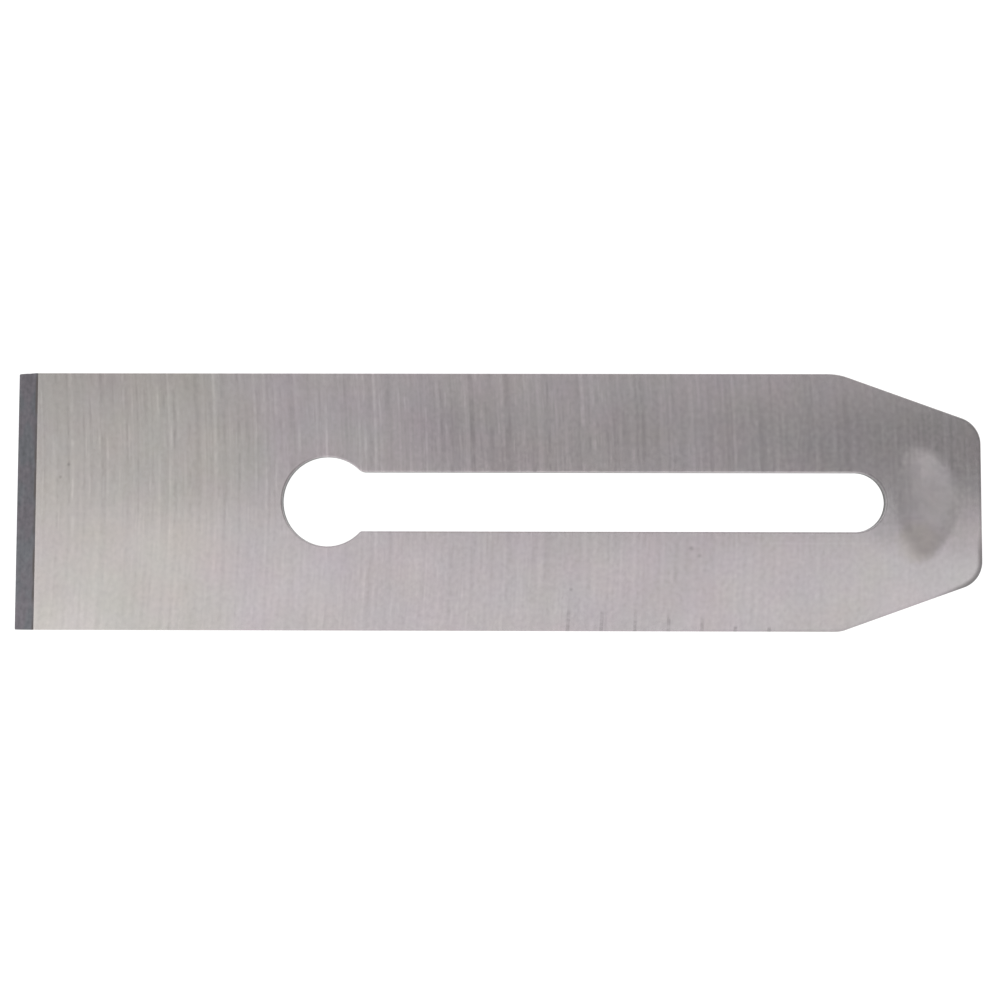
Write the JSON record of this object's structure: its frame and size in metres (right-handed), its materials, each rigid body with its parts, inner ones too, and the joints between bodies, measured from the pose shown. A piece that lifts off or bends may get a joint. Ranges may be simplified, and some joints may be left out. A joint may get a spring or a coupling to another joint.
{
  "type": "plane iron",
  "caption": "Flat steel blade for a bench plane: bevelled cutting edge, keyhole slot down the middle and a tapered tail with rounded corners.",
  "frame": {"origin": "middle of the plate's footprint, on its flat back", "axes": "+X along the blade from the cutting edge to the tail, +Y across it, +Z out of the bevelled side"},
  "size_m": [0.1906, 0.0508, 0.0021],
  "materials": {
    "ground_steel": "bare tool steel, surface ground across the blade, with a darker ground bevel"
  },
  "bodies": {
    "root": {"plane_iron": "ground_steel"}
  },
  "joints": []
}
